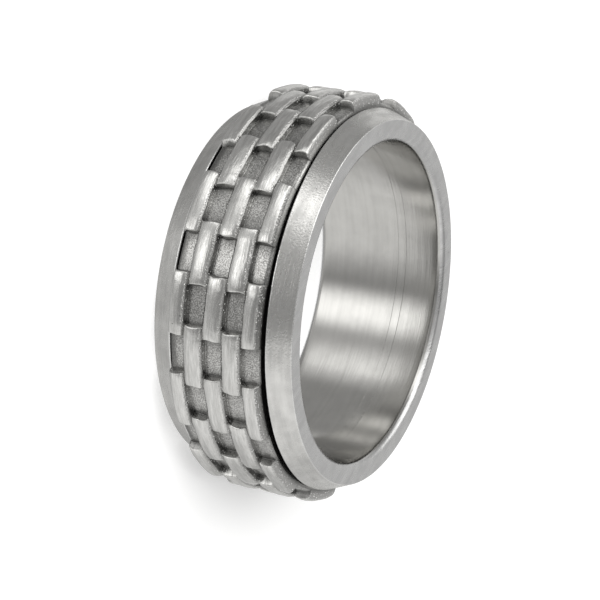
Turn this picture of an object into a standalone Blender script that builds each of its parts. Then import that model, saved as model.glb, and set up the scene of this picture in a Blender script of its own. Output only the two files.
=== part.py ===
"""A spinner ring lying on its side: a sleeve with one flange, a collar pressed over its end that traps a loose
band, and the band, whose raised bars stand in staggered columns like bricks.

The axis is +Z, the lower end face rests at z = 0, and all sizes are metres.
"""

import math

import bmesh
import bpy

MM = 0.001

# Driving dimensions
BORE_RADIUS = 9.9 * MM
RING_WIDTH = 9.0 * MM
FACE_OUTER_RADIUS = 11.24 * MM
FLANGE_RADIUS = 11.84 * MM
FLANGE_WIDTH = 1.42 * MM
EDGE_CHAMFER = 0.05 * MM
BORE_ROUND = 0.48 * MM

SLEEVE_OUTER_RADIUS = 10.65 * MM
JOINT_LOW = 5.79 * MM
JOINT_HIGH = 6.36 * MM
JOINT_RECESS = 0.05 * MM
COLLAR_LIP_THICKNESS = 0.3 * MM
PRESS_GAP = 0.07 * MM
TONGUE_TOP = 7.85 * MM

BAND_BOTTOM = 1.56 * MM
BAND_TOP = 7.38 * MM
BAND_INNER_RADIUS = 10.8 * MM
FLOOR_RADIUS = 11.95 * MM
BAND_CHAMFER = 0.12 * MM

BARS_ROUND = 13
INNER_PITCH = 1.23 * MM
OUTER_PITCH = 1.15 * MM
INNER_WIDTH = 1.2 * MM
OUTER_WIDTH = 1.0 * MM
BAR_LENGTH_ANGLE = math.radians(17.5)
ODD_COLUMN_ANGLE = math.radians(9.2)
BAR_TOP_RADIUS = 12.65 * MM
BAR_ROOT = 0.25 * MM
BAR_END_ROUND = 0.22 * MM

# Columns from the lower flange up: height of the middle above the band's middle, and width at the foot
COLUMNS = (
    {"offset": -INNER_PITCH - OUTER_PITCH, "width": OUTER_WIDTH, "odd": True},
    {"offset": -INNER_PITCH, "width": INNER_WIDTH, "odd": False},
    {"offset": 0.0, "width": INNER_WIDTH, "odd": True},
    {"offset": INNER_PITCH, "width": INNER_WIDTH, "odd": False},
    {"offset": INNER_PITCH + OUTER_PITCH, "width": OUTER_WIDTH, "odd": True},
)

# Across a bar: place from one side (-1) to the other (1), and drop below the crown line
BAR_CROWN = (
    {"across": -1.0, "drop": 0.36 * MM},
    {"across": -0.74, "drop": 0.09 * MM},
    {"across": 0.0, "drop": 0.0},
    {"across": 0.74, "drop": 0.09 * MM},
    {"across": 1.0, "drop": 0.36 * MM},
)
BAR_SPANS = 4
BAR_END_SEGMENTS = 1

STEPS_PER_BAR = 6
TURN_STEPS = BARS_ROUND * STEPS_PER_BAR
ROUND_SEGMENTS = 3

STEEL_FINISHES = {
    "sleeve_steel": {"color": (0.62, 0.61, 0.59, 1.0), "roughness": 0.32},
    "collar_steel": {"color": (0.66, 0.65, 0.64, 1.0), "roughness": 0.36},
    "spinner_steel": {"color": (0.60, 0.60, 0.59, 1.0), "roughness": 0.30},
}


def clear_scene():
    for obj in list(bpy.data.objects):
        bpy.data.objects.remove(obj, do_unlink=True)


def collection_named(name):
    collection = bpy.data.collections.new(name)
    bpy.context.scene.collection.children.link(collection)
    return collection


def steel(name):
    """A Principled material for one of the ring's finishes."""
    finish = STEEL_FINISHES[name]
    material = bpy.data.materials.new(name)
    material.use_nodes = True
    shader = material.node_tree.nodes["Principled BSDF"]
    shader.inputs["Base Color"].default_value = finish["color"]
    shader.inputs["Roughness"].default_value = finish["roughness"]
    shader.inputs["Metallic"].default_value = 1.0
    material.diffuse_color = finish["color"]
    return material


def quarter_round(centre, radius, start, stop):
    """Points on an arc about centre, in the (radius, height) plane, from angle start to angle stop."""
    points = []
    for step in range(ROUND_SEGMENTS + 1):
        angle = start + (stop - start) * step / ROUND_SEGMENTS
        points.append((centre[0] + radius * math.cos(angle), centre[1] + radius * math.sin(angle)))
    return points


def turned(name, profile, collection, material):
    """A solid of revolution about Z from a closed loop of (radius, height) points."""
    mesh = bpy.data.meshes.new(name)
    points = [(radius, 0.0, height) for radius, height in profile]
    edges = [(index, (index + 1) % len(points)) for index in range(len(points))]
    mesh.from_pydata(points, edges, [])
    obj = bpy.data.objects.new(name, mesh)
    collection.objects.link(obj)
    screw = obj.modifiers.new("Turn", "SCREW")
    screw.axis = "Z"
    screw.angle = math.tau
    screw.steps = TURN_STEPS
    screw.render_steps = TURN_STEPS
    screw.use_merge_vertices = True
    screw.merge_threshold = 0.01 * MM
    screw.use_smooth_shade = False
    mesh.materials.append(material)
    return obj


def lower_bore_round():
    """The rounded edge where the bore meets the lower end face, from the face inwards and up."""
    centre = (BORE_RADIUS + BORE_ROUND, BORE_ROUND)
    return quarter_round(centre, BORE_ROUND, -math.pi / 2, -math.pi)


def upper_bore_round():
    """The rounded edge where the bore meets the upper end face, from the bore up and outwards."""
    centre = (BORE_RADIUS + BORE_ROUND, RING_WIDTH - BORE_ROUND)
    return quarter_round(centre, BORE_ROUND, math.pi, math.pi / 2)


def core_sleeve_profile():
    """Down the outer side from the tongue's top, round the lower flange, and up the bore."""
    tongue_inner = BORE_RADIUS + COLLAR_LIP_THICKNESS + PRESS_GAP
    recess_radius = BORE_RADIUS + JOINT_RECESS
    outside = [
        (SLEEVE_OUTER_RADIUS, TONGUE_TOP),
        (SLEEVE_OUTER_RADIUS, FLANGE_WIDTH),
        (FLANGE_RADIUS - EDGE_CHAMFER, FLANGE_WIDTH),
        (FLANGE_RADIUS, FLANGE_WIDTH - EDGE_CHAMFER),
        (FACE_OUTER_RADIUS, 0.0),
    ]
    bore = [
        (BORE_RADIUS, JOINT_LOW),
        (recess_radius, JOINT_LOW),
        (recess_radius, JOINT_HIGH - PRESS_GAP),
        (tongue_inner, JOINT_HIGH - PRESS_GAP),
        (tongue_inner, TONGUE_TOP),
    ]
    return outside + lower_bore_round() + bore


def retaining_collar_profile():
    """Down the bevel and the channel's wall, round the groove that takes the tongue, and up the bore."""
    channel_ceiling = RING_WIDTH - FLANGE_WIDTH
    groove_outer = SLEEVE_OUTER_RADIUS + PRESS_GAP
    lip_outer = BORE_RADIUS + COLLAR_LIP_THICKNESS
    outside = [
        (FACE_OUTER_RADIUS, RING_WIDTH),
        (FLANGE_RADIUS, channel_ceiling + EDGE_CHAMFER),
        (FLANGE_RADIUS - EDGE_CHAMFER, channel_ceiling),
        (groove_outer, channel_ceiling),
        (groove_outer, TONGUE_TOP + PRESS_GAP),
        (lip_outer, TONGUE_TOP + PRESS_GAP),
        (lip_outer, JOINT_HIGH),
        (BORE_RADIUS, JOINT_HIGH),
    ]
    return outside + upper_bore_round()


def band_profile():
    """The plain band under the bars, with its outer edges broken."""
    return [
        (FLOOR_RADIUS - BAND_CHAMFER, BAND_TOP),
        (FLOOR_RADIUS, BAND_TOP - BAND_CHAMFER),
        (FLOOR_RADIUS, BAND_BOTTOM + BAND_CHAMFER),
        (FLOOR_RADIUS - BAND_CHAMFER, BAND_BOTTOM),
        (BAND_INNER_RADIUS, BAND_BOTTOM),
        (BAND_INNER_RADIUS, BAND_TOP),
    ]


def bar_section(middle_height, width):
    """The cross-section of a bar as (radius, height) points: foot, crown from side to side, foot."""
    root_radius = FLOOR_RADIUS - BAR_ROOT
    crown = []
    for point in BAR_CROWN:
        crown.append((BAR_TOP_RADIUS - point["drop"], middle_height + point["across"] * width / 2))
    return [(root_radius, crown[0][1])] + crown + [(root_radius, crown[-1][1])]


def add_bar(mesh, middle_angle, middle_height, width):
    """One bar: its section swept round the axis, then both ends rounded over."""
    first_angle = middle_angle - BAR_LENGTH_ANGLE / 2
    # Angles are measured from -Y towards +X
    outward = (math.sin(first_angle), -math.cos(first_angle))
    corners = []
    for radius, height in bar_section(middle_height, width):
        corners.append(mesh.verts.new((radius * outward[0], radius * outward[1], height)))
    first_end = mesh.faces.new(corners)
    swept = bmesh.ops.spin(
        mesh,
        geom=[first_end],
        cent=(0.0, 0.0, 0.0),
        axis=(0.0, 0.0, 1.0),
        angle=BAR_LENGTH_ANGLE,
        steps=BAR_SPANS,
    )
    last_end = next(item for item in swept["geom_last"] if isinstance(item, bmesh.types.BMFace))
    rounded = []
    for end in (first_end, last_end):
        lowest = min(end.edges, key=lambda edge: sum(corner.co.xy.length for corner in edge.verts))
        rounded += [edge for edge in end.edges if edge != lowest]
    bmesh.ops.bevel(
        mesh,
        geom=rounded,
        offset=BAR_END_ROUND,
        offset_type="OFFSET",
        segments=BAR_END_SEGMENTS,
        profile=0.5,
        affect="EDGES",
        clamp_overlap=False,
    )


def raised_bars(collection):
    """All the bars as one helper mesh, which the band takes in by a Boolean union."""
    bars = bmesh.new()
    bar_pitch = math.tau / BARS_ROUND
    band_middle = (BAND_BOTTOM + BAND_TOP) / 2
    for column in COLUMNS:
        start = ODD_COLUMN_ANGLE if column["odd"] else ODD_COLUMN_ANGLE - bar_pitch / 2
        for index in range(BARS_ROUND):
            add_bar(bars, start + index * bar_pitch, band_middle + column["offset"], column["width"])
    bmesh.ops.recalc_face_normals(bars, faces=bars.faces)
    mesh = bpy.data.meshes.new("raised_bars")
    bars.to_mesh(mesh)
    bars.free()
    obj = bpy.data.objects.new("raised_bars", mesh)
    obj.hide_render = True
    obj.display_type = "WIRE"
    collection.objects.link(obj)
    return obj


def build():
    clear_scene()
    parts = collection_named("spinner_ring")
    helpers = collection_named("helpers")
    turned("core_sleeve", core_sleeve_profile(), parts, steel("sleeve_steel"))
    turned("retaining_collar", retaining_collar_profile(), parts, steel("collar_steel"))
    band = turned("spinner_band", band_profile(), parts, steel("spinner_steel"))
    union = band.modifiers.new("Add bars", "BOOLEAN")
    union.operation = "UNION"
    union.solver = "EXACT"
    union.object = raised_bars(helpers)


build()
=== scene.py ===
# %% [markdown]
# # A spinner ring on a pale floor
#
# The real object is a wide finger ring of stainless steel. A sleeve goes round the finger, and a collar
# pressed over its end traps a loose outer band, which spins. The band carries five columns of raised bars,
# set like bricks.
#
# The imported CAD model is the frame. Its three solids have the right places and sizes, but their curves are
# made of flat facets, so this script replaces each with a finer surface that has the small roundings, the
# finish and the wear of the real metal.

# %% Load the frame
import math

import bpy
import numpy as np
from mathutils import Matrix, Vector


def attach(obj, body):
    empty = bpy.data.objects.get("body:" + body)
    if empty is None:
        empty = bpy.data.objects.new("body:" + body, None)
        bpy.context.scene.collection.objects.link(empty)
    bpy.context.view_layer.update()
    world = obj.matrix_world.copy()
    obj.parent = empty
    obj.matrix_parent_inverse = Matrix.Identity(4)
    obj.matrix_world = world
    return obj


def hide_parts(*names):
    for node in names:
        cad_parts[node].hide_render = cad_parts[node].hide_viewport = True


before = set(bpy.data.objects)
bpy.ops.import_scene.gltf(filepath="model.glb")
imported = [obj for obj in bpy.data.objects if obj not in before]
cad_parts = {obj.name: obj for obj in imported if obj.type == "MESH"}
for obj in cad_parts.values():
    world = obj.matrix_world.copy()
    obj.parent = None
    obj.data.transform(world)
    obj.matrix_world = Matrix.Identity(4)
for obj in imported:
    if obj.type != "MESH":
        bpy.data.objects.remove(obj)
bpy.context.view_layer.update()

MM = 0.001

# %% [markdown]
# ## The camera
#
# A separate least-squares program fitted the camera to the ring's circles in the photograph, and the four
# rows of numbers below come from it. There the ring stands on its rim. Here it lies on its end face, so the
# camera is turned by about a quarter on its own axis to give the same picture. It looks down on the floor
# by 26 degrees.

# %% Camera
CAMERA_PLACE = (0.000615, -0.100624, 0.052839)
PICTURE_RIGHT = (-0.174277, 0.431819, 0.884964)
PICTURE_UP = (-0.984697, -0.076426, -0.156626)
TOWARDS_CAMERA = (0.0, -0.898717, 0.438530)

camera_data = bpy.data.cameras.new("photo_camera")
camera_data.lens = 108
camera_data.sensor_width = 36
camera_data.clip_start = 0.005
camera = bpy.data.objects.new("photo_camera", camera_data)
turn = Matrix((PICTURE_RIGHT, PICTURE_UP, TOWARDS_CAMERA)).transposed().to_4x4()
camera.matrix_world = Matrix.Translation(CAMERA_PLACE) @ turn
bpy.context.scene.collection.objects.link(camera)
bpy.context.scene.camera = camera
print("camera", camera.name, "with a lens of", camera_data.lens, "mm")

# %% [markdown]
# ## Node helpers
#
# Every finish below is a small network of nodes. These helpers make a node, set its plain values and join
# its sockets in one line, so that the recipes stay readable.

# %% Node helpers
def add_node(tree, kind, settings=None, **sockets):
    """Adds a node. settings are its own options, and sockets are its inputs by name, with an underscore for a
    space: a value, or a socket to join."""
    node = tree.nodes.new(kind)
    for key, value in (settings or {}).items():
        setattr(node, key, value)
    for key, value in sockets.items():
        put(tree, node.inputs[key.replace("_", " ")], value)
    return node


def put(tree, socket, value):
    """Joins an output socket to an input, or writes a plain value into it."""
    if isinstance(value, bpy.types.NodeSocket):
        tree.links.new(value, socket)
    else:
        socket.default_value = value


def maths(tree, operation, *values):
    """One Math node on the given values or sockets."""
    node = tree.nodes.new("ShaderNodeMath")
    node.operation = operation
    for socket, value in zip(node.inputs, values):
        put(tree, socket, value)
    return node.outputs[0]


def times(tree, first, second):
    """first times second."""
    return maths(tree, "MULTIPLY", first, second)


def plus(tree, first, second):
    """first plus second."""
    return maths(tree, "ADD", first, second)


def minus(tree, first, second):
    """first minus second."""
    return maths(tree, "SUBTRACT", first, second)


def new_group(name, inputs, outputs):
    """An empty shader node group with named sockets. inputs maps a name to (socket type, default)."""
    group = bpy.data.node_groups.new(name, "ShaderNodeTree")
    for label, (kind, default) in inputs.items():
        socket = group.interface.new_socket(label, in_out="INPUT", socket_type=kind)
        socket.default_value = default
    for label in outputs:
        group.interface.new_socket(label, in_out="OUTPUT", socket_type="NodeSocketFloat")
    source = group.nodes.new("NodeGroupInput").outputs
    sink = group.nodes.new("NodeGroupOutput").inputs
    return group, source, sink


def use_group(tree, group, **sockets):
    """Places a node group in a tree, with its inputs set."""
    return add_node(tree, "ShaderNodeGroup", {"node_tree": group}, **sockets).outputs


# %% [markdown]
# ## The light
#
# Polished steel has hardly any colour of its own: what shows is the room. The reflections in the photograph
# look like those of a white tent with a few brighter panels and a dark gap where the camera stands. The
# World holds such a room: a dim base, and panels with soft edges, each given by the direction that it lies
# in. Azimuth 0 is towards the camera, 90 is the foot of the picture, and elevation is above the floor. The
# three with a negative light are black cards.
#
# Ten of the twelve rows come from another separate program, which fitted them by least squares to the
# brightness of the ring's surfaces in the photograph. Most were then changed, some only in their light. The
# last row and the one named lens_card were added. So this is a likeness of that room and not a record of
# it.

# %% Light panels
PANEL_FORM = ("name", "azimuth", "elevation", "half_width", "half_height", "soft", "light")
LIGHT_PANELS = (
    ("behind", -178, 17, 30, 41, 10, 0.26),
    ("behind_low", -136, -9, 5, 16, 14, 0.36),
    ("key", -50, 14, 2, 30, 19, 1.10),
    ("canopy", -94, 55, 36, 13, 14, 1.6),
    ("front_strip", -7, -28, 4, 16, 16, 1.2),
    ("front_wash", -29, 2, 24, 82, 5, 0.21),
    ("table", 66, 4, 21, 45, 34, 0.55),
    ("table_far", 126, 6, 11, 56, 25, 0.25),
    ("tent_foot", 69, -84, 120, 13, 17, 0.17),
    ("camera_gap", 26, 33, 5, 45, 13, -0.21),
    ("lens_card", -13, 24, 4, 12, 9, -0.22),
    ("overhead_gap", 165, 74, 36, 12, 16, -0.27),
)
ROOM_BASE = 0.37


def panel_group():
    """How much light a soft-edged panel sends from a direction. Across and up, the share falls smoothly from
    1 inside the half size to 0 at the half size plus soft."""
    names = (
        "Azimuth", "Elevation", "Panel azimuth", "Panel elevation",
        "Half width", "Half height", "Soft", "Light",
    )
    inputs = {name: ("NodeSocketFloat", 0.0) for name in names}
    group, given, result = new_group("soft panel", inputs, ("Light",))
    away = minus(group, given["Azimuth"], given["Panel azimuth"])
    across = maths(group, "ABSOLUTE", maths(group, "WRAP", away, 180.0, -180.0))
    up = maths(group, "ABSOLUTE", minus(group, given["Elevation"], given["Panel elevation"]))
    shares = []
    for distance, half in ((across, "Half width"), (up, "Half height")):
        ramp = add_node(
            group, "ShaderNodeMapRange", {"interpolation_type": "SMOOTHSTEP"}, Value=distance,
            From_Min=given[half], From_Max=plus(group, given[half], given["Soft"]), To_Min=1.0, To_Max=0.0,
        )
        shares.append(ramp.outputs["Result"])
    share = times(group, shares[0], shares[1])
    put(group, result["Light"], times(group, share, given["Light"]))
    return group


panel = panel_group()
print(len(LIGHT_PANELS), "light panels")

# %% [markdown]
# The World adds the panels up for each direction. The camera sees plain white instead of the panels. The
# floor's sheet is the only matt surface, and it takes about half of the room's light, which leaves the
# lamp below enough to draw a shadow with.

# %% World
FLOOR_LIGHT_SHARE = 0.55
ROOM_COLOR = (1.0, 0.995, 0.98, 1.0)
WHITE = (1.0, 1.0, 1.0, 1.0)

world = bpy.data.worlds.new("tent")
bpy.context.scene.world = world
world.use_nodes = True
tree = world.node_tree
tree.nodes.clear()
towards = add_node(tree, "ShaderNodeTexCoord").outputs["Generated"]
parts = add_node(tree, "ShaderNodeSeparateXYZ", Vector=towards).outputs
azimuth = maths(tree, "DEGREES", maths(tree, "ARCTAN2", parts["X"], times(tree, parts["Y"], -1.0)))
elevation = maths(tree, "DEGREES", maths(tree, "ARCSINE", parts["Z"]))
room = ROOM_BASE
for row in LIGHT_PANELS:
    form = dict(zip(PANEL_FORM, row))
    placed = use_group(
        tree, panel, Azimuth=azimuth, Elevation=elevation, Panel_azimuth=form["azimuth"],
        Panel_elevation=form["elevation"], Half_width=form["half_width"], Half_height=form["half_height"],
        Soft=form["soft"], Light=form["light"],
    )
    room = plus(tree, placed["Light"], room)
rays = add_node(tree, "ShaderNodeLightPath").outputs
for_floor = times(tree, rays["Is Diffuse Ray"], FLOOR_LIGHT_SHARE - 1.0)
strength = times(tree, room, plus(tree, for_floor, 1.0))
seen = add_node(tree, "ShaderNodeBackground", Color=WHITE, Strength=1.0)
lit = add_node(tree, "ShaderNodeBackground", Color=ROOM_COLOR, Strength=strength)
either = add_node(tree, "ShaderNodeMixShader")
put(tree, either.inputs[0], rays["Is Camera Ray"])
put(tree, either.inputs[1], lit.outputs[0])
put(tree, either.inputs[2], seen.outputs[0])
add_node(tree, "ShaderNodeOutputWorld", Surface=either.outputs[0])
bpy.context.scene.view_settings.view_transform = "Standard"
print("world", world.name, "with", len(tree.nodes), "nodes")

# %% [markdown]
# ## The floor
#
# A light tent's floor is a white sheet that is lit until it hardly shows. It glows a little by itself here,
# so only a faint shadow is left beside the ring. In the photograph the sheet lies on another side of the
# ring, so the floor is hidden from glossy rays, and the steel mirrors the room's panels alone.

# %% Floor
FLOOR_HALF = 1.5
FLOOR_GLOW = 0.37
FIBRES_PER_METRE = 900.0
FIBRE_TONES = (0.82, 0.86)

floor_mesh = bpy.data.meshes.new("floor")
low, high = -FLOOR_HALF, FLOOR_HALF
floor_mesh.from_pydata([(low, low, 0), (high, low, 0), (high, high, 0), (low, high, 0)], [], [(0, 1, 2, 3)])
floor = bpy.data.objects.new("floor", floor_mesh)
bpy.context.scene.collection.objects.link(floor)
floor.visible_glossy = False

sheet = bpy.data.materials.new("floor_sheet")
sheet.use_nodes = True
shader = sheet.node_tree.nodes["Principled BSDF"]
fibres = add_node(sheet.node_tree, "ShaderNodeTexNoise", Scale=FIBRES_PER_METRE, Detail=3.0)
tone = add_node(
    sheet.node_tree, "ShaderNodeMapRange", Value=fibres.outputs[0],
    To_Min=FIBRE_TONES[0], To_Max=FIBRE_TONES[1],
)
put(sheet.node_tree, shader.inputs["Base Color"], tone.outputs[0])
shader.inputs["Roughness"].default_value = 0.9
shader.inputs["Specular IOR Level"].default_value = 0.0
shader.inputs["Emission Color"].default_value = WHITE
shader.inputs["Emission Strength"].default_value = FLOOR_GLOW
floor_mesh.materials.append(sheet)
print("floor is", 2 * FLOOR_HALF, "m wide")

# %% [markdown]
# One soft lamp leaves the faint shadow at the ring's foot. It stands high on the camera's side, a little
# towards the head of the picture. It is wide, as seen from the ring, so the shadow has no edge, and it
# doesn't show in the steel.

# %% Soft lamp
LAMP_FROM = (-0.30, -0.68, 0.67)
LAMP_STRENGTH = 2.3
LAMP_WIDTH = math.radians(36)

lamp_data = bpy.data.lights.new("soft_lamp", "SUN")
lamp_data.energy = LAMP_STRENGTH
lamp_data.angle = LAMP_WIDTH
lamp = bpy.data.objects.new("soft_lamp", lamp_data)
lamp.rotation_euler = Vector(LAMP_FROM).to_track_quat("Z", "Y").to_euler()
lamp.visible_glossy = False
bpy.context.scene.collection.objects.link(lamp)
print("lamp", lamp_data.energy, "W per square metre")

# %% [markdown]
# ## Sizes
#
# The first values are those of the CAD source, in millimetres, with angles given in degrees, because this
# script can't read that file. The last ones are only for the finer surfaces of sleeve and collar. Real turned
# edges are broken by a few hundredths of a millimetre, and these small roundings are what catches the
# light. Where the collar meets the sleeve in the bore, the CAD has a recess 0.05 mm deep and a gap of
# 0.07 mm. Here both are finer, because the photograph shows no more than two thin lines.

# %% Sizes
BORE_RADIUS = 9.9
BORE_ROUND = 0.48
RING_WIDTH = 9.0
FACE_OUTER_RADIUS = 11.24
FLANGE_RADIUS = 11.84
FLANGE_WIDTH = 1.42
SLEEVE_OUTER_RADIUS = 10.65
JOINT_LOW = 5.79
JOINT_HIGH = 6.36
COLLAR_LIP_THICKNESS = 0.3
PRESS_GAP = 0.07
TONGUE_TOP = 7.85

BAND_BOTTOM = 1.56
BAND_TOP = 7.38
BAND_MIDDLE = (BAND_BOTTOM + BAND_TOP) / 2
BAND_INNER_RADIUS = 10.8
FLOOR_RADIUS = 11.95
BARS_ROUND = 13
INNER_PITCH = 1.23
OUTER_PITCH = 1.15
INNER_WIDTH = 1.2
OUTER_WIDTH = 1.0
BAR_LENGTH_ANGLE = math.radians(17.5)
ODD_COLUMN_ANGLE = math.radians(9.2)
BAR_TOP_RADIUS = 12.65

FACE_EDGE_ROUND = 0.06
FLANGE_EDGE_ROUND = 0.07
CHANNEL_ROUND = 0.05
GROOVE_ROUND = 0.03
JOINT_EDGE_ROUND = 0.015
JOINT_CORNER_ROUND = 0.005
JOINT_SEAM = 0.008
JOINT_STEP = 0.01
TURN_STEPS = 360
print("bore", 2 * BORE_RADIUS, "mm, width", RING_WIDTH, "mm,", 5 * BARS_ROUND, "bars")

# %% [markdown]
# ## Turned surfaces
#
# The sleeve and the collar are turned on a lathe. A lathe part is one closed outline carried round the
# axis, so a point of the grid is given by two numbers: how far along the outline, and how far round. Both
# directions meet themselves, so there is no seam to close.

# %% Grid to mesh
def surface_mesh(name, points):
    """Makes a mesh from a grid of points (rows round the ring, columns along the outline), closed both ways.
    Face (i, j) joins point (i, j), the next one round, the one diagonally on, and the next one along."""
    rows, columns = points.shape[:2]
    row, column = np.meshgrid(np.arange(rows), np.arange(columns), indexing="ij")
    here, onward = row * columns, (row + 1) % rows * columns
    along = (column + 1) % columns
    faces = np.stack((here + column, onward + column, onward + along, here + along), axis=-1).reshape(-1)
    mesh = bpy.data.meshes.new(name)
    mesh.vertices.add(rows * columns)
    mesh.vertices.foreach_set("co", (points * MM).astype(np.float32).reshape(-1))
    mesh.loops.add(len(faces))
    mesh.loops.foreach_set("vertex_index", faces.astype(np.int32))
    mesh.polygons.add(rows * columns)
    mesh.polygons.foreach_set("loop_start", np.arange(0, len(faces), 4, dtype=np.int32))
    mesh.update(calc_edges=True)
    mesh.validate()
    mesh.polygons.foreach_set("use_smooth", np.ones(rows * columns, dtype=bool))
    obj = bpy.data.objects.new(name, mesh)
    bpy.context.scene.collection.objects.link(obj)
    return obj


# %% Rounded outlines
def rounded_outline(corners, arc_steps=6, support=0.8):
    """A closed outline of (radius, height) points with each corner rounded. corners has a row for each
    corner: radius, height, rounding. With t the angle that the outline turns by there, the arc starts
    rounding * tan(t / 2) before the corner and ends as far past it. Its centre is the start moved sideways by
    the rounding, and its points stand round that centre at equal angles. A point on each flank, support
    times the rounding away from the arc, keeps the flats flat."""
    table = np.array(corners, float)
    place, rounding = table[:, :2], table[:, 2]
    before = place - np.roll(place, 1, axis=0)
    before /= np.linalg.norm(before, axis=1)[:, None]
    after = np.roll(before, -1, axis=0)
    cross = before[:, 0] * after[:, 1] - before[:, 1] * after[:, 0]
    turned = np.arctan2(cross, (before * after).sum(1))
    reach = rounding * np.tan(np.abs(turned) / 2)
    side = np.sign(turned)[:, None] * np.stack((-before[:, 1], before[:, 0]), axis=1)
    start = place - before * reach[:, None]
    centre = start + side * rounding[:, None]
    swing = np.linspace(0, 1, arc_steps + 1)[None, :] * turned[:, None]
    spoke = -side * rounding[:, None]
    arc_x = centre[:, :1] + spoke[:, :1] * np.cos(swing) - spoke[:, 1:] * np.sin(swing)
    arc_y = centre[:, 1:] + spoke[:, :1] * np.sin(swing) + spoke[:, 1:] * np.cos(swing)
    arcs = np.stack((arc_x, arc_y), axis=-1)
    margin = (support * rounding)[:, None]
    first = (start - before * margin)[:, None, :]
    last = (place + after * (reach[:, None] + margin))[:, None, :]
    return np.concatenate((first, arcs, last), axis=1).reshape(-1, 2)


# %% Turned surface
def turned_surface(name, outline):
    """Carries the outline round the axis: at angle a from -Y towards +X, a point of radius r and height h
    lies at (r sin a, -r cos a, h)."""
    angle = np.arange(TURN_STEPS) * math.tau / TURN_STEPS
    radius, height = outline[:, 0][None, :], outline[:, 1][None, :]
    x, y = radius * np.sin(angle)[:, None], -radius * np.cos(angle)[:, None]
    return surface_mesh(name, np.stack((x, y, np.broadcast_to(height, x.shape)), axis=-1))


# %% [markdown]
# The sleeve's outline runs up the outer side, from the bevel of the lower flange to the top of the tongue
# that the collar grips, and comes back down the bore. The collar's outline does the same round its groove.

# %% Sleeve and collar
tongue_inner = BORE_RADIUS + COLLAR_LIP_THICKNESS + PRESS_GAP
recess_radius = BORE_RADIUS + JOINT_STEP
sleeve = turned_surface("sleeve", rounded_outline((
    (FACE_OUTER_RADIUS, 0.0, FACE_EDGE_ROUND),
    (FLANGE_RADIUS, FLANGE_WIDTH, FLANGE_EDGE_ROUND),
    (SLEEVE_OUTER_RADIUS, FLANGE_WIDTH, CHANNEL_ROUND),
    (SLEEVE_OUTER_RADIUS, TONGUE_TOP, CHANNEL_ROUND),
    (tongue_inner, TONGUE_TOP, CHANNEL_ROUND),
    (tongue_inner, JOINT_HIGH - JOINT_SEAM, GROOVE_ROUND),
    (recess_radius, JOINT_HIGH - JOINT_SEAM, JOINT_EDGE_ROUND),
    (recess_radius, JOINT_LOW, JOINT_CORNER_ROUND),
    (BORE_RADIUS, JOINT_LOW, JOINT_EDGE_ROUND),
    (BORE_RADIUS, 0.0, BORE_ROUND),
)))
channel_ceiling = RING_WIDTH - FLANGE_WIDTH
groove_outer = SLEEVE_OUTER_RADIUS + PRESS_GAP
lip_outer = BORE_RADIUS + COLLAR_LIP_THICKNESS
collar = turned_surface("collar", rounded_outline((
    (FLANGE_RADIUS, channel_ceiling, FLANGE_EDGE_ROUND),
    (FACE_OUTER_RADIUS, RING_WIDTH, FACE_EDGE_ROUND),
    (BORE_RADIUS, RING_WIDTH, BORE_ROUND),
    (BORE_RADIUS, JOINT_HIGH, JOINT_EDGE_ROUND),
    (lip_outer, JOINT_HIGH, JOINT_EDGE_ROUND),
    (lip_outer, TONGUE_TOP + PRESS_GAP, GROOVE_ROUND),
    (groove_outer, TONGUE_TOP + PRESS_GAP, GROOVE_ROUND),
    (groove_outer, channel_ceiling, GROOVE_ROUND),
)))
for piece in (sleeve, collar):
    print(piece.name, len(piece.data.polygons), "faces")

# %% [markdown]
# ## The spinner band
#
# Seen from the axis, the band is a landscape: every direction has one height. So it is a grid of angle and
# height whose radius says how high the metal stands there: the floor of the cells, or the crown of a bar.
# Grid lines are packed close at the ends and sides of the bars, where the surface drops steeply, and wide
# apart elsewhere.
#
# The values below are for this surface alone. The bars are spread a little, and the cells' floor lies
# higher than in the CAD. The places of lines are measured in mm from a bar's end inwards, and as shares: of
# half a bar's width, of the side wall past it, and of the rounding of the band's edges.

# %% Spinner sizes
SPREAD = 0.05
COLUMNS = (
    {"offset": -INNER_PITCH - OUTER_PITCH, "width": OUTER_WIDTH + SPREAD, "odd": True},
    {"offset": -INNER_PITCH, "width": INNER_WIDTH + SPREAD, "odd": False},
    {"offset": 0.0, "width": INNER_WIDTH + SPREAD, "odd": True},
    {"offset": INNER_PITCH, "width": INNER_WIDTH + SPREAD, "odd": False},
    {"offset": INNER_PITCH + OUTER_PITCH, "width": OUTER_WIDTH, "odd": True},
)
CELL_RADIUS = 12.1
CROWN_HEIGHT = BAR_TOP_RADIUS - CELL_RADIUS
BAR_PITCH = math.tau / BARS_ROUND

END_LINES = (-0.10, -0.01, 0.0, 0.003, 0.035, 0.06, 0.075, 0.09, 0.115, 0.16, 0.25, 0.42)
SIDE_LINES = (0.0, 0.3, 0.5, 0.66, 0.78, 0.87, 0.935, 0.975, 1.0)
WALL_LINES = (0.1, 0.9, 1.1)
ROLL_LINES = (0.0, 0.4, 0.7, 0.9, 1.0)
ARC_STEP = 0.36
SIDE_STEP = 0.2
print(len(COLUMNS), "columns, bars", round(CROWN_HEIGHT, 3), "mm above the cells")

# %% [markdown]
# The bars' crowns are domed and their ends are slanted. The small corners where an end meets the cell are
# darkened with painted shade, and a mask of painted shade says how near one is. It is weaker on the slanted
# end itself, and it also covers the strip of the cells next to the lower flange and the very edge next to
# the collar, where it paints the shade of the gaps.

# %% Shape of the bars
WALL = 0.03
CROWN_DEPTH = 0.36
CROWN_REACH = 0.97
CROWN_POWER = 2.35
SWEEP_LENGTH = 0.7
SWEEP_DEPTH = 0.05
END_SLOPE = 7.0
END_LIP = 0.042

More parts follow.
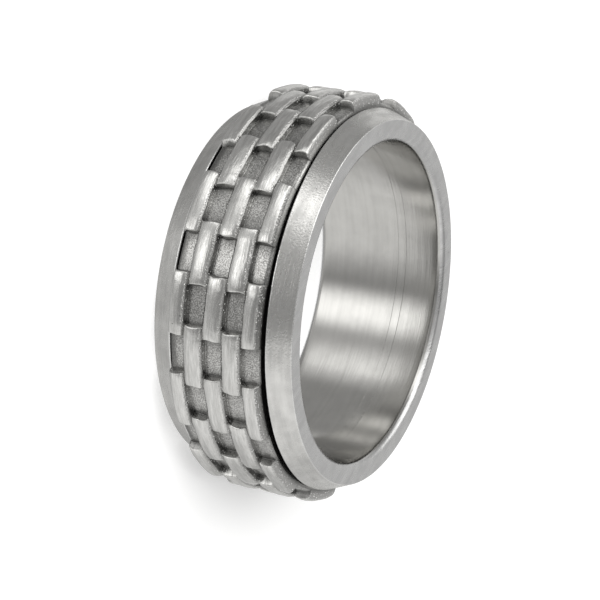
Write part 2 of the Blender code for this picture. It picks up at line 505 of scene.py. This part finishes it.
NOOK_REACH = 0.3
NOOK_END = 0.06
NOOK_FOOT = 0.01
NOOK_ON_END = 0.4
STRIP_WIDTH = 0.50
STRIP_FADE = 0.15
STRIP_TOP = 0.1
RIM_WIDTH = 0.02


def bar_relief(around, along):
    """How high the metal stands above the cells' floor, in mm, and two masks from 0 to 1.

    For each column, t is the place across a bar from 0 in the middle to 1 at its side, where a wall goes
    straight down over the width WALL, and s is the distance inside the bar's nearer end. With p =
    CROWN_POWER, the crown c is the bar's height less CROWN_DEPTH * (1 - (1 - (CROWN_REACH t)^p)^(1/p)), the
    drop of a full ellipse, and less SWEEP_DEPTH * m^2, with m the share of SWEEP_LENGTH that is left to the
    end. The ends are slanted walls e = END_SLOPE * s. The metal follows the lower of the two, rounded where
    they meet: (c + e - sqrt((c - e)^2 + 4 END_LIP^2)) / 2.

    The crown mask is 1 along a bar's middle line and falls to 0 at its sides. The mask of painted shade is
    exp(-|s| / NOOK_REACH) in the column's own width, times NOOK_ON_END on the slanted end, or the mask of the
    lower strip or the upper rim where that is larger."""
    relief, crown_mask, painted_shade = (np.zeros(around.shape) for _ in range(3))
    for column in COLUMNS:
        first = ODD_COLUMN_ANGLE - (0 if column["odd"] else BAR_PITCH / 2)
        away = np.abs((around - first + BAR_PITCH / 2) % BAR_PITCH - BAR_PITCH / 2)
        s = (BAR_LENGTH_ANGLE / 2 - away) * FLOOR_RADIUS
        across = np.abs(along - BAND_MIDDLE - column["offset"]) - column["width"] / 2
        t = 1 + across / (column["width"] / 2)
        wall = np.clip(1 - across / WALL, 0, 1)
        domed = 1 - np.clip(CROWN_REACH * t, 0, CROWN_REACH) ** CROWN_POWER
        side_drop = CROWN_DEPTH * (1 - domed ** (1 / CROWN_POWER))
        sweep = SWEEP_DEPTH * np.clip(1 - s / SWEEP_LENGTH, 0, 1) ** 2
        top, end = CROWN_HEIGHT - side_drop - sweep, END_SLOPE * s
        shape = (top + end - np.sqrt((top - end) ** 2 + 4 * END_LIP ** 2)) / 2
        # With the tiny margins, a grid line on a bar's end counts as inside, and one on a wall's foot doesn't
        inside = (across < WALL - 1e-6) & (s >= -1e-4)
        relief = np.where(inside, np.maximum(relief, shape * wall), relief)
        crown_mask = np.where(inside, np.maximum(crown_mask, 1 - np.clip(t, 0, 1)), crown_mask)
        # Painted shade: a darker colour near the corners where a bar's end meets the cell.
        corner = np.exp(-np.abs(s) / NOOK_REACH) * np.where(s > NOOK_FOOT, NOOK_ON_END, 1.0)
        painted_shade = np.where((across < WALL) & (s < NOOK_END), corner, painted_shade)
    # Painted shade in the gaps as well: the strip next to the lower flange and the rim next to the collar.
    strip = np.clip((BAND_BOTTOM + STRIP_WIDTH - along) / STRIP_FADE, 0, 1) * (relief < STRIP_TOP)
    rim = np.clip((along - BAND_TOP + RIM_WIDTH) / RIM_WIDTH, 0, 1)
    return relief, crown_mask, np.maximum(painted_shade, np.maximum(strip, rim))


# %% [markdown]
# Cast and hand-finished metal isn't exact, so the grid is bent by slow waves round and along the ring, and
# the tops go up and down by a hundredth of a millimetre. The band is loose as well: it hangs a little askew
# in its channel, and its rows of bars are slightly twisted.

# %% Wear and looseness
TOP_WAVE = {"seed": 3, "size": 0.006, "slowest": 2.5, "fastest": 0.5}
ROUND_WAVE = {"seed": 5, "size": 0.022, "slowest": 3.0, "fastest": 0.7}
HEIGHT_WAVE = {"seed": 7, "size": 0.012, "slowest": 3.0, "fastest": 0.7}
CALM_WIDTH = 0.4
LEAN = 0.12
LIFT = 0.07
TWIST = math.radians(0.067)


def wave(around, along, seed, size, slowest, fastest, count=40):
    """A smooth random wave over the band: the sum of count cosines, each with a whole number of turns round
    the ring, so it meets itself, and a random slant and start. Its usual height is size. Wavelengths run from
    slowest to fastest, in mm."""
    dice = np.random.default_rng(seed)
    length = np.exp(dice.uniform(math.log(fastest), math.log(slowest), count))
    slant = dice.uniform(0, math.tau, count)
    turns = np.round(math.tau * FLOOR_RADIUS / length * np.cos(slant))
    rate = math.tau / length * np.sin(slant)
    start = dice.uniform(0, math.tau, count)
    total = np.zeros(around.shape)
    for k in range(count):
        total += np.cos(turns[k] * around + rate[k] * along + start[k])
    return total * size * math.sqrt(2 / count)


# %% Spinner grid
EDGE_ROLL = 0.26
ROLL_SHARE = 0.98
INNER_CHAMFER = 0.1
INNER_CHAMFER_HEIGHT = 0.05


def filled(lines, widest):
    """The given line places in order, with evenly spaced ones added wherever two are further apart than
    widest."""
    lines = np.unique(np.round(lines, 6))
    spans = [
        np.linspace(low, high, max(1, math.ceil((high - low) / widest)), endpoint=False)
        for low, high in zip(lines[:-1], lines[1:])
    ]
    return np.concatenate(spans + [lines[-1:]])


def places_round():
    """The angles of the grid lines: one bar's pitch, with lines for both ends of the bars in odd and in even
    columns, repeated for every bar."""
    pitch_length = BAR_PITCH * FLOOR_RADIUS
    half_bar = BAR_LENGTH_ANGLE / 2 * FLOOR_RADIUS
    ends = np.array(END_LINES)
    lines = np.concatenate((
        -half_bar + ends,
        half_bar - ends,
        pitch_length / 2 - half_bar + ends,
        half_bar - pitch_length / 2 - ends,
        [-pitch_length / 2, pitch_length / 2],
    ))
    one_pitch = filled(lines, ARC_STEP)[:-1] / FLOOR_RADIUS
    starts = np.arange(BARS_ROUND) * math.tau / BARS_ROUND + ODD_COLUMN_ANGLE
    return (starts[:, None] + one_pitch[None, :]).reshape(-1)


def places_along():
    """The heights of the grid lines: over the rounding of both edges, and over each column and its walls."""
    roll = EDGE_ROLL * (1 - np.array(ROLL_LINES))
    heights = list(BAND_BOTTOM + roll) + list(BAND_TOP - roll)
    for column in COLUMNS:
        centre, half = BAND_MIDDLE + column["offset"], column["width"] / 2
        from_centre = list(np.array(SIDE_LINES) * column["width"] / 2)
        heights += [centre + place for place in from_centre] + [centre - place for place in from_centre]
        for share in WALL_LINES:
            heights += [centre + half + share * WALL, centre - half - share * WALL]
    heights = np.array(heights)
    return filled(heights[(heights >= BAND_BOTTOM) & (heights <= BAND_TOP)], SIDE_STEP)


def inner_side():
    """The rest of the band's outline as (radius, height) points: edge, inner side, edge."""
    edge_radius = CELL_RADIUS - EDGE_ROLL - INNER_CHAMFER
    return np.array((
        (edge_radius, BAND_TOP),
        (BAND_INNER_RADIUS + INNER_CHAMFER, BAND_TOP),
        (BAND_INNER_RADIUS, BAND_TOP - INNER_CHAMFER_HEIGHT),
        (BAND_INNER_RADIUS, BAND_BOTTOM + INNER_CHAMFER_HEIGHT),
        (BAND_INNER_RADIUS + INNER_CHAMFER, BAND_BOTTOM),
        (edge_radius, BAND_BOTTOM),
    ))


def spinner_points():
    """The grid of the whole band, from the outer side over the edges to the inner side, with its three masks.
    At the edges the outer side drops by EDGE_ROLL * (1 - sqrt(1 - ROLL_SHARE * u^2)), a quarter of a circle
    all but its last steep part, with u from 0 to 1 over the last EDGE_ROLL mm."""
    around = places_round()
    a, h = np.meshgrid(around, places_along(), indexing="ij")
    u = np.clip(np.abs(h - BAND_MIDDLE) - (BAND_TOP - BAND_BOTTOM) / 2 + EDGE_ROLL, 0, EDGE_ROLL) / EDGE_ROLL
    rolled = EDGE_ROLL * (1 - np.sqrt(1 - ROLL_SHARE * u ** 2))
    relief, crown_mask, painted_shade = bar_relief(a, h)
    radius = CELL_RADIUS - rolled + relief + wave(a, h, **TOP_WAVE)
    calm = np.clip((BAND_MIDDLE - BAND_BOTTOM - np.abs(h - BAND_MIDDLE)) / CALM_WIDTH, 0, 1)
    bent = a + wave(a, h, **ROUND_WAVE) / FLOOR_RADIUS + TWIST * (h - BAND_MIDDLE)
    risen = h + wave(a, h, **HEIGHT_WAVE) * calm

    inner = inner_side()
    shape = (len(around), len(inner))
    parts = ((radius, inner[:, 0]), (risen, inner[:, 1]), (bent, around[:, None]))
    parts += ((relief, 0), (crown_mask, 0), (painted_shade, 0))
    radius, height, angle, relief, crown_mask, painted_shade = (
        np.concatenate((outer_part, np.broadcast_to(inner_part, shape)), axis=1)
        for outer_part, inner_part in parts
    )
    x, y = radius * np.sin(angle), -radius * np.cos(angle)
    points = np.stack((x, y, height + LIFT - LEAN * x / BAR_TOP_RADIUS), axis=-1)
    return points, {"relief": relief / CROWN_HEIGHT, "crown": crown_mask, "painted_shade": painted_shade}


# %% Spinner
points, masks = spinner_points()
spinner = surface_mesh("spinner", points)
for label, values in masks.items():
    attribute = spinner.data.attributes.new(label, "FLOAT", "POINT")
    attribute.data.foreach_set("value", values.astype(np.float32).reshape(-1))
print("spinner grid", points.shape[:2], "with", 2 * len(spinner.data.polygons), "triangles")

# %% [markdown]
# ## Finishes
#
# All of it is one steel. What differs is how it was worked: brushed round the bevels and along the bars,
# ground straight across the end faces, turned fine in the bore, blasted in the cells. Each is a pattern of
# tiny ridges or grains, so the shared groups put out heights. A material scales them to millimetres and
# adds them up for its Bump node, whose distance is one millimetre.

# %% Shared grain groups
def grain_group():
    """Fine lines from brushing: noise squeezed across the lines, fine and coarse. Stretch is the number of
    lines per metre across each axis, and Turn swings the pattern round Z first, in radians. Streak is the
    coarse noise alone."""
    group, given, result = new_group(
        "brushed lines",
        {"Stretch": ("NodeSocketVector", (1000.0, 1000.0, 9000.0)), "Turn": ("NodeSocketFloat", 0.0)},
        ("Height", "Streak"),
    )
    place = add_node(group, "ShaderNodeTexCoord").outputs["Object"]
    swung = add_node(
        group, "ShaderNodeVectorRotate", {"rotation_type": "Z_AXIS"}, Vector=place, Angle=given["Turn"],
    )
    laid = add_node(group, "ShaderNodeVectorMath", {"operation": "MULTIPLY"})
    put(group, laid.inputs[0], swung.outputs[0])
    put(group, laid.inputs[1], given["Stretch"])
    fine = add_node(
        group, "ShaderNodeTexNoise", Vector=laid.outputs[0], Scale=1.0, Detail=3.0, Roughness=0.65,
    )
    coarse = add_node(group, "ShaderNodeTexNoise", Vector=laid.outputs[0], Scale=0.3, Detail=2.0)
    put(group, result["Height"], plus(group, fine.outputs[0], coarse.outputs[0]))
    put(group, result["Streak"], coarse.outputs[0])
    return group


def blast_group():
    """The pebbled skin that blasting leaves: a noise of round grains, Per metre of them. Cloud is a slow
    noise of the same place, for patches that took more or less of it."""
    group, given, result = new_group(
        "blasted grain", {"Per metre": ("NodeSocketFloat", 8000.0)}, ("Height", "Cloud"),
    )
    place = add_node(group, "ShaderNodeTexCoord").outputs["Object"]
    grains = add_node(
        group, "ShaderNodeTexNoise", Vector=place, Scale=given["Per metre"], Detail=2.5, Roughness=0.6,
    )
    cloud = add_node(group, "ShaderNodeTexNoise", Vector=place, Scale=1100.0, Detail=2.0)
    put(group, result["Height"], grains.outputs[0])
    put(group, result["Cloud"], cloud.outputs[0])
    return group


def pit_group():
    """Sparse small pits and nicks: the middles of a few cells of a Voronoi pattern, picked by each cell's own
    random number. A slow noise bends their rims. Pit is 1 inside one and 0 outside, and Dome rises from 0 at
    the rim towards the middle."""
    defaults = {"Per metre": 1900.0, "Size": 0.07, "Share": 0.1}
    inputs = {name: ("NodeSocketFloat", default) for name, default in defaults.items()}
    group, given, result = new_group("pits and nicks", inputs, ("Pit", "Dome"))
    place = add_node(group, "ShaderNodeTexCoord").outputs["Object"]
    bend = add_node(group, "ShaderNodeTexNoise", Vector=place, Scale=9000.0, Detail=1.0)
    cells = add_node(group, "ShaderNodeTexVoronoi", Vector=place, Scale=given["Per metre"])
    picked = add_node(group, "ShaderNodeSeparateColor", Color=cells.outputs["Color"])
    chosen = maths(group, "LESS_THAN", picked.outputs[0], given["Share"])
    rim = times(group, given["Size"], plus(group, bend.outputs[0], picked.outputs[1]))
    inside = maths(group, "LESS_THAN", cells.outputs["Distance"], rim)
    rise = maths(group, "MAXIMUM", minus(group, rim, cells.outputs["Distance"]), 0.0)
    put(group, result["Pit"], times(group, chosen, inside))
    put(group, result["Dome"], times(group, chosen, rise))
    return group


brushed_lines = grain_group()
blasted_grain = blast_group()
pits = pit_group()
print("groups:", ", ".join(group.name for group in (brushed_lines, blasted_grain, pits)))

# %% Material helpers
def mixed(tree, factor, first, second, kind="FLOAT"):
    """first where factor is 0 and second where it is 1, for numbers or colours. A Mix node has sockets for
    every kind of value, and those for numbers come before those for colours."""
    node = add_node(tree, "ShaderNodeMix", {"data_type": kind})
    place = 2 if kind == "FLOAT" else 6
    put(tree, node.inputs[0], factor)
    put(tree, node.inputs[place], first)
    put(tree, node.inputs[place + 1], second)
    return node.outputs[0 if kind == "FLOAT" else 2]


def shaded(color, share):
    """The colour times share, with full alpha."""
    return (*(share * channel for channel in color), 1.0)


def ramp(tree, value, low, high):
    """0 where value is low and 1 where it is high, and even between."""
    node = add_node(tree, "ShaderNodeMapRange", Value=value, From_Min=low, From_Max=high)
    return node.outputs["Result"]


def smooth_step(tree, value, low, high):
    """0 where value is low and 1 where it is high, with a smooth change between. low may be the larger
    one."""
    rising = low < high
    node = add_node(
        tree, "ShaderNodeMapRange", {"interpolation_type": "SMOOTHSTEP"}, Value=value,
        From_Min=min(low, high), From_Max=max(low, high),
        To_Min=0.0 if rising else 1.0, To_Max=1.0 if rising else 0.0,
    )
    return node.outputs["Result"]


def metal(name):
    """A new metallic material, with its node tree and its shader."""
    material = bpy.data.materials.new(name)
    material.use_nodes = True
    shader = material.node_tree.nodes["Principled BSDF"]
    shader.inputs["Metallic"].default_value = 1.0
    return material, material.node_tree, shader


def bumped(tree, shader, height):
    """Makes the surface stand up by height, in mm."""
    bump = add_node(tree, "ShaderNodeBump", Height=height, Strength=1.0, Distance=MM)
    put(tree, shader.inputs["Normal"], bump.outputs[0])


# %% [markdown]
# The turned pieces share one recipe, with a row of values for each finish: the lines per metre across each
# axis, and the depth of the lines and grains in mm.

# %% Turned finishes
ROUND = (900.0, 900.0, 9000.0)
FINE_ROUND = (500.0, 500.0, 10000.0)
ACROSS = (9000.0, 700.0, 700.0)
TURNED_FINISHES = {
    "bevel_steel": {
        "color": (0.65, 0.647, 0.635), "roughness": 0.26, "stretch": ROUND, "line_depth": 0.02,
        "grain_depth": 0.014, "anisotropy": 0.25, "blotch": 0.14,
    },
    "edge_steel": {
        "color": (0.78, 0.78, 0.775), "roughness": 0.22, "stretch": ROUND, "line_depth": 0.006,
        "grain_depth": 0.02, "pit_share": 0.0,
    },
    "face_steel": {
        "color": (0.63, 0.63, 0.632), "roughness": 0.28, "stretch": ACROSS, "line_depth": 0.016,
        "grain_depth": 0.004, "turn": math.radians(-45), "blotch": 0.08,
    },
    "bore_steel": {
        "color": (0.555, 0.55, 0.535), "roughness": 0.17, "stretch": FINE_ROUND, "line_depth": 0.003,
        "anisotropy": 0.5, "blotch": 0.05, "pit_share": 0.0,
    },
    # Painted shade: a dark steel for the faces in the channel under the band, where little light reaches.
    "painted_shade_steel": {
        "color": (0.16, 0.16, 0.155), "roughness": 0.45, "stretch": ROUND, "line_depth": 0.004,
    },
}
GRAINS_PER_METRE = 9000.0
PIT_DEPTH = 0.02
PIT_SHADE = 0.5
QUARTER_TURN = 0.25


def steel(
    name, color, roughness, stretch, line_depth, grain_depth=0.0, turn=0.0, anisotropy=0.0, blotch=0.1,
    pit_share=0.08,
):
    """Worked steel. blotch is how far the streaks move the colour and the roughness, and pit_share is the
    share of the pattern's cells that hold a pit. With anisotropy, highlights are drawn out across the lines
    that run round the axis."""
    material, tree, shader = metal(name)
    lines = use_group(tree, brushed_lines, Stretch=stretch, Turn=turn)
    grain = use_group(tree, blasted_grain, Per_metre=GRAINS_PER_METRE)
    marks = use_group(tree, pits, Share=pit_share)
    patch = ramp(tree, times(tree, plus(tree, lines["Streak"], grain["Cloud"]), 0.5), 0.35, 0.65)
    rough = mixed(tree, patch, roughness * (1 + 2 * blotch), roughness * (1 - 2 * blotch))
    put(tree, shader.inputs["Roughness"], rough)
    tone = mixed(tree, patch, shaded(color, 1 - blotch), shaded(color, 1 + blotch), "RGBA")
    tone = mixed(tree, marks["Pit"], tone, shaded(color, PIT_SHADE), "RGBA")
    put(tree, shader.inputs["Base Color"], tone)
    raised = times(tree, lines["Height"], line_depth)
    if grain_depth:
        raised = plus(tree, raised, times(tree, grain["Height"], grain_depth))
    bumped(tree, shader, minus(tree, raised, times(tree, marks["Pit"], PIT_DEPTH)))
    if anisotropy:
        shader.inputs["Anisotropic"].default_value = anisotropy
        shader.inputs["Anisotropic Rotation"].default_value = QUARTER_TURN
        along = add_node(tree, "ShaderNodeTangent", {"direction_type": "RADIAL", "axis": "Z"})
        put(tree, shader.inputs["Tangent"], along.outputs[0])
    return material


turned_steels = [steel(name, **finish) for name, finish in TURNED_FINISHES.items()]
print("turned finishes:", ", ".join(TURNED_FINISHES))

# %% [markdown]
# The spinner has a recipe of its own, because one surface carries several finishes. The attributes that
# were stored with its points say where each goes: crown is 1 along a bar's middle line and 0 at its sides,
# relief is how high the metal stands, and the third says where shade is painted into the colour. A pair of
# values for one of them says where a finish starts and where it is complete.

# %% Spinner finish
BRUSHED_FROM_TO = (0.06, 0.26)
CELL_FROM_TO = (0.30, 0.04)
SHOULDER_FROM_TO = (0.36, 0.16)
RAGGED = 0.35
# How far the painted shade darkens the colour towards its dark tone.
PAINTED_SHADE_SHARE = 0.74
DEPTHS = {
    "lines": 0.022, "crown grain": 0.004, "side grain": 0.006, "fine side grain": 0.0055, "pit": 0.02,
    "spark": 0.2,
}
CROWN_ROUGHNESS = (0.27, 0.19)
SIDE_ROUGHNESS = 0.26
CROWN_TONES = ((0.55, 0.548, 0.537, 1.0), (0.76, 0.758, 0.745, 1.0))
CELL_TONES = ((0.25, 0.248, 0.242, 1.0), (0.65, 0.648, 0.635, 1.0))
SIDE_TONE = (0.46, 0.458, 0.45, 1.0)
# The dark colour of the painted shade in the corners and gaps.
PAINTED_SHADE_TONE = (0.10, 0.10, 0.097, 1.0)
# Painted glint: a lighter colour on the small domes of the bars' shoulders.
PAINTED_GLINT_TONE = (0.95, 0.95, 0.94, 1.0)
PIT_TONE = (0.24, 0.24, 0.23, 1.0)


def spinner_material():
    """Bars brushed along their crowns and blasted on their sides, over blasted cells. The grain breaks the
    line between the two finishes. Small domes stand on the bars' shoulders, and a painted glint makes them
    lighter than the rest. Painted shade darkens the corners under the bars' ends and the band's edges."""
    material, tree, shader = metal("spinner_finish")
    relief, crown, painted_shade = (
        add_node(tree, "ShaderNodeAttribute", {"attribute_name": label}).outputs["Fac"]
        for label in ("relief", "crown", "painted_shade")
    )
    lines = use_group(tree, brushed_lines, Stretch=(1100.0, 1100.0, 8500.0))
    grain = use_group(tree, blasted_grain, Per_metre=8000.0)
    fine = use_group(tree, blasted_grain, Per_metre=15000.0)
    marks = use_group(tree, pits, Share=0.10)
    sparks = use_group(tree, pits, Per_metre=6400.0, Size=0.24, Share=0.75)
    ragged = plus(tree, crown, times(tree, minus(tree, grain["Height"], 0.5), RAGGED))
    brushed = smooth_step(tree, ragged, *BRUSHED_FROM_TO)
    in_cell = smooth_step(tree, relief, *CELL_FROM_TO)
    shoulder = times(tree, smooth_step(tree, crown, *SHOULDER_FROM_TO), minus(tree, 1.0, in_cell))

    line_height = times(tree, lines["Height"], DEPTHS["lines"])
    crown_height = plus(tree, line_height, times(tree, grain["Height"], DEPTHS["crown grain"]))
    fine_height = times(tree, fine["Height"], DEPTHS["fine side grain"])
    side_height = plus(tree, times(tree, grain["Height"], DEPTHS["side grain"]), fine_height)
    height = mixed(tree, brushed, side_height, crown_height)
    sunk = minus(tree, height, times(tree, marks["Pit"], DEPTHS["pit"]))
    domes = times(tree, times(tree, shoulder, sparks["Dome"]), DEPTHS["spark"])
    bumped(tree, shader, plus(tree, sunk, domes))

    patch = ramp(tree, lines["Height"], 0.78, 1.22)
    crown_rough = mixed(tree, patch, *CROWN_ROUGHNESS)
    put(tree, shader.inputs["Roughness"], mixed(tree, brushed, SIDE_ROUGHNESS, crown_rough))
    crown_tone = mixed(tree, patch, *CROWN_TONES, "RGBA")
    cell_tone = mixed(tree, smooth_step(tree, fine["Height"], 0.36, 0.66), *CELL_TONES, "RGBA")
    side_tone = mixed(tree, in_cell, SIDE_TONE, cell_tone, "RGBA")
    unshaded_tone = mixed(tree, brushed, side_tone, crown_tone, "RGBA")
    # Painted shade: a darker colour in the corners under the bars' ends and at the band's edges.
    tone = mixed(tree, times(tree, painted_shade, PAINTED_SHADE_SHARE), unshaded_tone, PAINTED_SHADE_TONE, "RGBA")
    # Painted glint: the small domes on the shoulders get a lighter colour than the steel.
    tone = mixed(tree, times(tree, shoulder, sparks["Pit"]), tone, PAINTED_GLINT_TONE, "RGBA")
    tone = mixed(tree, marks["Pit"], tone, PIT_TONE, "RGBA")
    put(tree, shader.inputs["Base Color"], tone)
    return material


spinner.data.materials.append(spinner_material())
print("spinner finish:", spinner.data.materials[0].name)

# %% [markdown]
# The faces of the turned pieces get their finish by where they lie and how they slope. On the bevel the
# outward share of the normal is the same everywhere, so the bevel and its rounded edges are told apart by
# it.

# %% Finishes on the turned pieces
BEVEL, EDGE, FACE, BORE, HIDDEN = range(5)
BEVEL_OUTWARD = FLANGE_WIDTH / math.hypot(FLANGE_WIDTH, FLANGE_RADIUS - FACE_OUTER_RADIUS)
SAME_SLOPE = 0.004
EDGE_OUTWARD = 0.04
EDGE_DEPTH = 0.05
BORE_OUTWARD = -0.8
BORE_DEPTH = 0.2
FACE_DEPTH = 0.5
JOINT_MARGIN = 0.1


def face_places(obj):
    """Radius, height and outward slope of every face's middle, in mm, as three arrays. The slope is the share
    of the normal that points away from the axis: (x * nx + y * ny) / radius."""
    mesh = obj.data
    centre = np.zeros(len(mesh.polygons) * 3, np.float32)
    normal = np.zeros(len(mesh.polygons) * 3, np.float32)
    mesh.polygons.foreach_get("center", centre)
    mesh.polygons.foreach_get("normal", normal)
    centre, normal = centre.reshape(-1, 3) / MM, normal.reshape(-1, 3)
    radius = np.hypot(centre[:, 0], centre[:, 1])
    outward = (centre[:, 0] * normal[:, 0] + centre[:, 1] * normal[:, 1]) / radius
    return radius, centre[:, 2], outward


def finish_turned(obj):
    """Gives each face of a turned piece its finish: bevel, rounded edge, end face, bore, or hidden in a
    joint. A later line wins over an earlier one."""
    radius, height, outward = face_places(obj)
    near_joint = (height > JOINT_LOW - JOINT_MARGIN) & (height < JOINT_HIGH + JOINT_MARGIN)
    in_joint = near_joint & (radius < BORE_RADIUS + EDGE_DEPTH)
    in_bore = (radius < BORE_RADIUS + BORE_DEPTH) & (outward < BORE_OUTWARD)
    at_end = (height < FACE_DEPTH) | (height > RING_WIDTH - FACE_DEPTH)
    # Faces that no later line takes, in the channel under the band, keep the dark steel of painted shade.
    finish = np.full(len(radius), HIDDEN, np.int32)
    finish[at_end & (radius < FACE_OUTER_RADIUS)] = FACE
    finish[in_bore | in_joint] = BORE
    finish[(radius > FACE_OUTER_RADIUS - EDGE_DEPTH) & (outward > EDGE_OUTWARD)] = EDGE
    finish[np.abs(outward - BEVEL_OUTWARD) < SAME_SLOPE] = BEVEL
    for material in turned_steels:
        obj.data.materials.append(material)
    obj.data.polygons.foreach_set("material_index", finish)
    print(obj.name, "faces by finish", np.bincount(finish, minlength=5))


finish_turned(sleeve)
finish_turned(collar)

# %% [markdown]
# ## Joining the frame
#
# Each piece stands for its CAD solid and rides on that solid's body, so the spinner turns and the rest
# stays.

# %% Ride and replace
PIECES = (
    (sleeve, "core", "core_sleeve", "sleeve_steel"),
    (collar, "core", "retaining_collar", "collar_steel"),
    (spinner, "spinner", "spinner_band", "spinner_steel"),
)
for piece, body, node, slot in PIECES:
    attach(piece, body)
    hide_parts(node)
